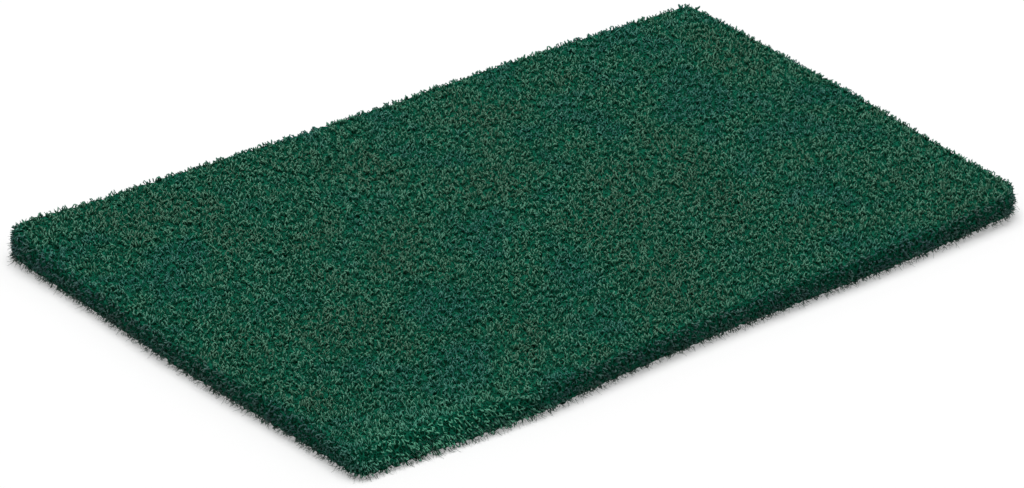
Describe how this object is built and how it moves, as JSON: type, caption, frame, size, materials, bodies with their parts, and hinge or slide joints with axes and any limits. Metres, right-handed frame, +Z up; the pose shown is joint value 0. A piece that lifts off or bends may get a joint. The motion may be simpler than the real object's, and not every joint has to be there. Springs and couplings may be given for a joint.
{
  "type": "nylon scouring pad",
  "caption": "Rectangular hand scouring pad, one slab of dark green bonded nylon fibre web with rounded edges and corners.",
  "frame": {"origin": "middle of the underside, on the surface that the pad lies on", "axes": "+X along the pad's length, +Y across its width, +Z up through its thickness"},
  "size_m": [0.2324, 0.1554, 0.008],
  "materials": {
    "abrasive_web": "dark green curled nylon fibres, bonded with resin, matt with small glints"
  },
  "bodies": {
    "root": {"scouring_pad": "abrasive_web"}
  },
  "joints": []
}
